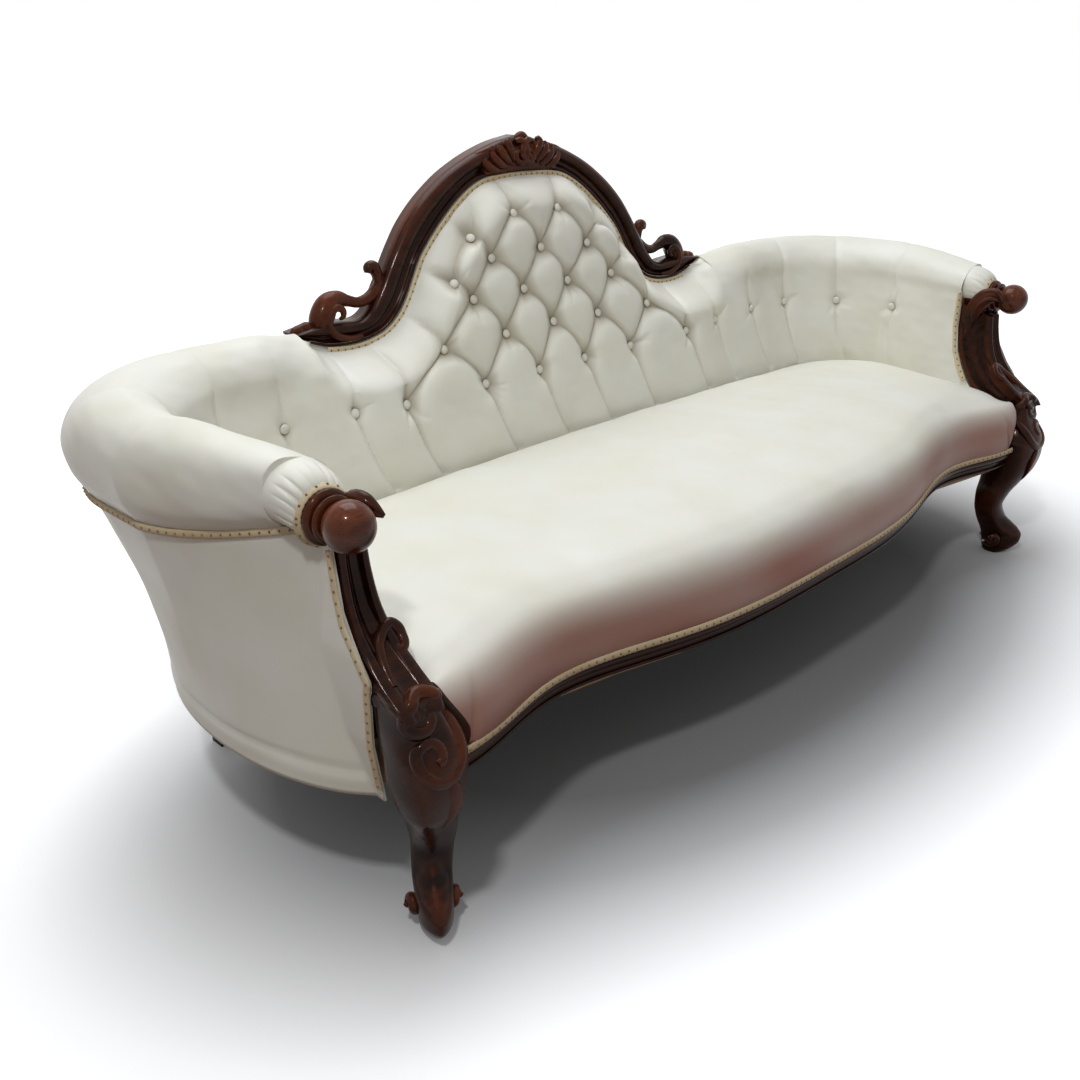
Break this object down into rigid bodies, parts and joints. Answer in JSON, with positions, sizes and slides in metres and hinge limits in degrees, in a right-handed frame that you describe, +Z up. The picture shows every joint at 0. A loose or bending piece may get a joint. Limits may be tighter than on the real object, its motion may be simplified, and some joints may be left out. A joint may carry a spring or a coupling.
{
  "type": "button-backed settee",
  "caption": "Victorian show-wood settee with scrolled arms, serpentine sprung seat, deep-buttoned arched back, carved crest and cabriole front legs.",
  "frame": {"origin": "on the floor under the middle of the whole settee", "axes": "+X along its length to the sitter's left as seen from the front, +Y to the back, +Z up"},
  "size_m": [2.1646, 0.8403, 0.98],
  "materials": {
    "show_wood": "polished",
    "frame_wood": "plain",
    "leather": "soft satin",
    "canvas": "woven",
    "spring_steel": "drawn wire"
  },
  "bodies": {
    "root": {"back_buttons": "leather", "back_pad": "leather", "back_panel": "leather", "back_rail": "frame_wood", "crest_back_panel": "leather", "crest_carving": "show_wood", "front_rail": "show_wood", "front_seat_rail": "frame_wood", "left_arm_ball": "show_wood", "left_arm_collar": "show_wood", "left_arm_pad": "leather", "left_arm_panel": "leather", "left_arm_support": "show_wood", "left_arm_top_rail": "frame_wood", "left_arm_upright": "frame_wood", "left_back_block": "frame_wood", "left_back_leg": "show_wood", "left_back_top_rail": "frame_wood", "left_back_upright": "frame_wood", "left_corner_pad": "leather", "left_corner_panel": "leather", "left_corner_upright": "frame_wood", "left_crest_rail": "show_wood", "left_front_block": "frame_wood", "left_front_leg": "show_wood", "left_roll_end": "leather", "left_side_back_pad": "leather", "left_side_buttons": "leather", "left_side_rail": "frame_wood", "right_arm_ball": "show_wood", "right_arm_collar": "show_wood", "right_arm_pad": "leather", "right_arm_panel": "leather", "right_arm_support": "show_wood", "right_arm_top_rail": "frame_wood", "right_arm_upright": "frame_wood", "right_back_block": "frame_wood", "right_back_leg": "show_wood", "right_back_top_rail": "frame_wood", "right_back_upright": "frame_wood", "right_corner_pad": "leather", "right_corner_panel": "leather", "right_corner_upright": "frame_wood", "right_crest_rail": "show_wood", "right_front_block": "frame_wood", "right_front_leg": "show_wood", "right_roll_end": "leather", "right_side_back_pad": "leather", "right_side_buttons": "leather", "right_side_rail": "frame_wood", "seat_dust_cover": "canvas", "seat_pad": "leather", "seat_springs": "spring_steel", "seat_webbing": "canvas", "spring_canvas": "canvas"}
  },
  "joints": []
}
